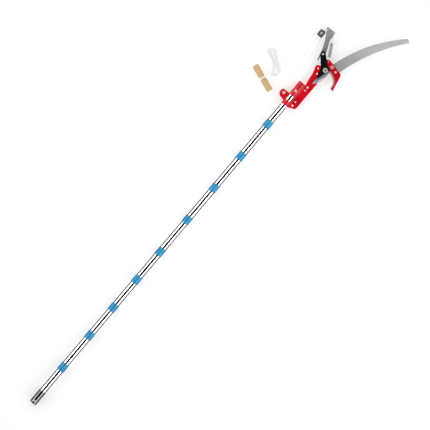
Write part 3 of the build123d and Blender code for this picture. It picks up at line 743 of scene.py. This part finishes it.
def dressedNode(name, node, slot, finish, edge):
    # a copy of the CAD mesh, merged, its flat faces made whole, and bevelled along its sharp edges
    mesh = cadNodes[node].data.copy()
    mesh.name = name
    work = bmesh.new()
    work.from_mesh(mesh)
    bmesh.ops.remove_doubles(work, verts=work.verts, dist=dressing["merge"] * mm)
    flat = math.radians(dressing["flat"])
    bmesh.ops.dissolve_limit(work, angle_limit=flat, verts=work.verts, edges=work.edges)
    work.to_mesh(mesh)
    work.free()
    sharp = math.radians(dressing["sharp"])
    mesh.shade_smooth()
    mesh.set_sharp_from_angle(angle=sharp)
    piece = addPiece(name, mesh, cadNodes[node]["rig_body"], slot, finish, node)
    bevel = piece.modifiers.new("roundedEdges", "BEVEL")
    bevel.width, bevel.segments, bevel.limit_method = edge * mm, 2, "ANGLE"
    bevel.angle_limit, bevel.use_clamp_overlap, bevel.harden_normals = sharp, False, True


plates = {
    "frontShell": ("front_shell", "red_paint", red, 0.35),
    "backShell": ("back_shell", "red_paint", red, 0.35),
    "hookJaw": ("hook_jaw", "red_paint", redJaw, 0.3),
    "sawBlade": ("saw_blade", "saw_steel", sawSteel, 0.12),
    "cuttingBlade": ("cutting_blade", "blade_steel", coated, 0.15),
    "leverArm": ("lever_arm", "lever_steel", leverSteel, 0.3),
    "blockFrame": ("block_frame", "block_black", blockBlack, 0.2),
    "blockCheeks": ("block_cheeks", "block_black", cheekBlack, 0.2),
    "blockPins": ("block_pins", "block_steel", zinc, 0.2),
    "blockLink": ("block_link", "block_steel", zinc, 0.1),
    "buttCap": ("butt_cap", "cap", capBlack, 0.3),
    "sawBolt": ("saw_bolt", "zinc", boltSteel, 0.35),
    "sawRivet": ("saw_rivet", "zinc", zinc, 0.15),
    "jawRivet": ("jaw_rivet", "zinc", zinc, 0.15),
    "shellRivets": ("shell_rivets", "zinc", zinc, 0.15),
    "sleeveScrew": ("sleeve_screw", "zinc", zinc, 0.4),
    "hexNuts": ("hex_nuts", "zinc", zinc, 0.4),
    "pivotBolt": ("pivot_bolt", "zinc", boltSteel, 0.4),
    "pivotWasher": ("pivot_washer", "zinc", zinc, 0.2),
    "pivotNut": ("pivot_nut", "zinc", zinc, 0.5),
    "lowerAxle": ("lower_axle", "zinc", zinc, 0.4),
    "leverRivet": ("lever_rivet", "zinc", zinc, 0.15),
}
for name, (node, slot, finish, edge) in plates.items():
    dressedNode(name, node, slot, finish, edge)

filletSize = {
    "radius": 3.0, "socket": 14.15, "plate": 2.0, "start": 1413.6, "end": 1515.4, "toe": (1.2, 1.0),
    "heel": (-12.8, 3.0),
}


def socketFillet(side):
    # the swept bend from the socket's half round to the flat flange: an arc that touches both,
    # closed inside the metal
    s = filletSize
    z = s["plate"] + s["radius"]
    y = -math.sqrt((s["socket"] + s["radius"]) ** 2 - z**2)
    first = math.atan2(-z, -y)
    turn = np.linspace(first, -math.pi / 2, 9)
    ring = np.stack([y + s["radius"] * np.cos(turn), z + s["radius"] * np.sin(turn)], 1)
    ring = np.concatenate([ring, [(y + s["toe"][0], s["toe"][1]), s["heel"]]]) * mm
    xs = np.linspace(s["start"], s["end"], 5)[:, None] * mm
    places = np.broadcast_to(ring[None], (5, *ring.shape))
    along = np.broadcast_to(xs[:, None], (5, len(ring), 1))
    return np.concatenate([along, places[..., :1], side * places[..., 1:]], 2)


for side, label in ((1, "Front"), (-1, "Back")):
    bend = surfaceMesh(f"socketBend{label}", [socketFillet(side)])
    addPiece(f"socketBend{label}", bend, "head", "red_paint", red)

sheaves = {
    "lowerSheave": ((1445.7, 29.6), 10.1, "lower_pulley", "lower_sheave"),
    "upperSheave": ((1698.0, 63.9), 7.6, "upper_pulley", "upper_sheave"),
}
sheaveSize = {
    "half": 3.5, "bore": 3.05, "lip": 1.5, "bevel": 0.4, "land": 2.2, "groove": 1.85, "depth": 1.3,
    "gap": 0.1,
}
for name, ((x, y), cordRadius, body, node) in sheaves.items():
    # rim, groove (-width * cos v, cord radius + gap + depth * (1 - sin v)), rim, and the bore
    s = sheaveSize
    v = np.linspace(0, np.pi, 13)
    floor = cordRadius + s["gap"]
    groove = np.stack([-s["groove"] * np.cos(v), floor + (1 - np.sin(v)) * s["depth"]], 1)
    half, rim, bore, bevel, land = s["half"], cordRadius + s["lip"], s["bore"], s["bevel"], s["land"]
    low = [(-half, bore), (-half, rim - bevel), (bevel - half, rim), (-land, rim)]
    high = [(-x, y) for x, y in low[::-1]]
    corners = np.concatenate([low, groove, high]) * mm
    mesh = surfaceMesh(name, [turned(corners, (x * mm, y * mm, 0), (0, 0, 1), 72)], closedLoop=True)
    addPiece(name, mesh, body, "block_steel", sheaveNylon, node)

handleSize = {"half": 53.5, "radius": 11.8, "waist": 9.0}
handleAxis = (math.cos(handleTurn), math.sin(handleTurn), 0)


def handleMesh():
    # radius along the stick: a waist in the middle, shallow turned rings beside it and rounded ends
    s = handleSize
    half, r, waist = s["half"], s["radius"], s["waist"]
    side = [(4, waist), (7, r - 0.9), (12, r), (14.5, r), (15.2, r - 0.5), (15.9, r),
            (half - 10, r - 0.15), (half - 9.3, r - 0.6), (half - 8.6, r - 0.15), (half - 3, r - 0.2),
            (half - 0.9, r - 1.1), (half, r - 3), (half, 0)]
    corners = np.array([(-x, y) for x, y in side[::-1]] + side) * mm
    profile = roundedProfile(corners, 0.5 * mm)
    return surfaceMesh("pullHandle", [turned(profile, handleMiddle, handleAxis, 72)])


addPiece("pullHandle", handleMesh(), "handle", "handle_wood", wood, "pull_handle")


def windingLine(centre, axis, radius, length, turns, start, steps):
    # point(t) = centre + t * length along the axis + radius * (cos, sin)(start + turns * t)
    axis = unit(np.array(axis, float))
    across = unit(np.cross(axis, (0, 0, 1)))
    up = np.cross(axis, across)
    t = np.linspace(-0.5, 0.5, steps)[:, None]
    angle = start + 2 * np.pi * turns * t
    return centre + t * length * axis + radius * (np.cos(angle) * across + np.sin(angle) * up)


whippingCord = 1.45 * mm
whippingSize = {"radius": 10.4 * mm, "length": 5.4 * mm, "turns": 2.1, "start": 0.2, "steps": 140}
whipping = windingLine(handleMiddle, handleAxis, **whippingSize)
addPiece("waistWhipping", cordMesh("waistWhipping", whipping, whippingCord), "handle", "cord", cordWhite)

springSize = {
    "foot": (30.9, 10.5), "head": (124.2, 64.5), "height": 3.5, "radius": 4.95, "wire": 0.8,
    "coil": (16.0, 71.0), "hook": 3.3, "under": 2.7, "over": 2.6, "bend": 1.4, "taper": 0.8, "sides": 8,
    "turnSteps": 22,
}


def springMesh():
    # a close-wound helix whose last turns spiral in to the axis, with a hook from each end to its hole
    s = springSize
    foot, head = (np.array([*p, s["height"] * mm]) for p in aboutPivot(s["foot"], s["head"]))
    axis, span = unit(head - foot), np.linalg.norm(head - foot) / mm
    start, end = s["coil"]
    length, centre = end - start - 2, foot + axis * (start + end) / 2 * mm
    turns = length / (2 * s["wire"])
    line = windingLine(centre, axis, 1.0, length * mm, turns, 0, int(turns * s["turnSteps"]))
    middle = foot + axis * np.dot(line - foot, axis)[:, None]
    t = np.linspace(0, turns, len(line))[:, None]
    radius = s["radius"] * mm * np.clip(np.minimum(t, turns - t) / s["taper"], 0.02, 1)
    line = middle + (line - middle) * radius
    up = np.array([0, 0, 1.0])
    wire = circleRing(s["wire"] * mm, s["sides"])
    tubes = [carried(line, wire, axis)]
    for begin, way, hole in ((foot, 1, start), (head, -1, span - end)):
        on, rise = axis * way, up * s["hook"]
        corners = [begin - up * s["under"] * mm, begin + up * s["over"] * mm,
                   begin + (on * s["bend"] + rise) * mm,
                   begin + (on * (hole - 7) + rise) * mm, begin + on * (hole - 4) * mm,
                   begin + on * (hole + 1) * mm]
        bend = routeLine("springHook", np.array(corners) / mm)
        tubes.append(carried(bend, wire, np.cross(axis, up)))
    return surfaceMesh("returnSpring", tubes), foot, head


springShape, springFoot, springHead = springMesh()
spring = addPiece("returnSpring", springShape, None, "lever_steel", springSteel, "return_spring")
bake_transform(spring)

knotSize = {"middle": (1685.8, 69.4, 0.0), "reach": 0.713, "strand": 0.85, "rise": 1.6}


def knotMesh():
    # a closed overhand knot: x, y = (2 + cos 3t) turned by 2t, z = rise * sin 3t
    t = np.linspace(0, 2 * np.pi, 97)[:-1]
    middle = np.array(knotSize["middle"]) * mm
    bulge = 2 + np.cos(3 * t)
    line = np.stack([bulge * np.cos(2 * t), bulge * np.sin(2 * t), knotSize["rise"] * np.sin(3 * t)], 1)
    line = middle + line * knotSize["reach"] * mm
    ahead = unit(np.roll(line, -1, 0) - np.roll(line, 1, 0))
    side = unit(np.cross(ahead, unit(line - middle)))
    lift = np.cross(side, ahead)
    ring = circleRing(knotSize["strand"] * mm, 10)
    grid = line[:, None] + ring[None, :, :1] * side[:, None] + ring[None, :, 1:] * lift[:, None]
    travel = np.r_[0, np.cumsum(np.linalg.norm(np.diff(line, axis=0), axis=1)), 0]
    return surfaceMesh("becketKnot", [grid], closedLoop=True, along=travel)


addPiece("becketKnot", knotMesh(), "block", "cord", cordWhite, "becket_knot")
print("head made")


# Studio: pale floor and soft light all round; the chrome mirrors a dark patch overhead, a bright bank on
# each side and the dark cards beside the pole

studio = {
    "floor": -0.01425, "paper": (0.93, 0.93, 0.93), "card": (0.004, 0.004, 0.004), "cardLift": 0.0002,
    "cardSpan": (-0.01, 1.41), "sky": 1.02, "front": 1.4, "rear": 1.25, "wide": 0.62, "reach": 0.92,
    "long": 0.40, "edge": 0.03,
}
stripSize = {"long": 2.8, "wide": 0.3, "x": 1.0, "z": 1.35}
strips = {"keyStrip": (-1.50, 48, 22.0), "fillStrip": (1.50, -48, 20.0)}  # Y, tilt and power
flags = {"flagRear": (14.6, 300.0), "flagFront": (-300.0, -14.6)}  # dark cards only mirrors see: their Y


def flatSheet(name, xs, ys, z, colour, rough):
    corners = [(xs[0], ys[0], z), (xs[1], ys[0], z), (xs[1], ys[1], z), (xs[0], ys[1], z)]
    mesh = bpy.data.meshes.new(name)
    mesh.from_pydata(corners, [], [(0, 1, 2, 3)])
    sheet = bpy.data.objects.new(name, mesh)
    bpy.context.scene.collection.objects.link(sheet)
    paper = Finish(name + "Paper", Roughness=rough, Specular_IOR_Level=0.1)
    shade = paper.noise((40, 40, 40), 3)
    paper.set("Base Color", paper.mix(shade, colour, tuple(0.98 * c for c in colour)))
    mesh.materials.append(paper.material)
    return sheet


flatSheet("floor", (-30, 30), (-30, 30), studio["floor"], studio["paper"], 0.9)
for name, (y0, y1) in flags.items():
    height = studio["floor"] + studio["cardLift"]
    flag = flatSheet(name, studio["cardSpan"], (y0 * mm, y1 * mm), height, studio["card"], 1.0)
    flag.visible_camera = flag.visible_diffuse = flag.visible_shadow = flag.visible_transmission = False

world = bpy.data.worlds.new("studio")
bpy.context.scene.world = world
world.use_nodes = True
sky = Tree(world.node_tree, "Generated")
low, high = studio["wide"] - studio["edge"], studio["wide"] + studio["edge"]
above = sky.fade(sky.z, 0.1, 0.3)
near = 1 - sky.fade(abs(sky.x), studio["long"], studio["long"] + 0.25)
strength = studio["sky"] * (1 - near * above * (1 - sky.fade(abs(sky.y), low, high)))
for side, sense in (("front", -1), ("rear", 1)):  # a bright bank of light along each side of the pole
    out = sense * sky.y
    bank = sky.fade(out, low, high) * (1 - sky.fade(out, studio["reach"], studio["reach"] + 0.05)) * above
    strength = strength + (studio[side] - studio["sky"]) * bank
background = world.node_tree.nodes["Background"]
sky.feed(background.inputs["Color"], (1.0, 1.0, 1.0))
sky.feed(background.inputs["Strength"], strength)

for name, (y, tilt, power) in strips.items():
    data = bpy.data.lights.new(name, "AREA")
    data.shape, data.size, data.size_y = "RECTANGLE", stripSize["long"], stripSize["wide"]
    data.energy = power
    data.use_shadow = False
    strip = bpy.data.objects.new(name, data)
    strip.location = (stripSize["x"], y, stripSize["z"])
    strip.rotation_euler = (math.radians(tilt), 0, 0)
    bpy.context.scene.collection.objects.link(strip)
bpy.context.scene.view_settings.view_transform = "Standard"
print("studio lit")
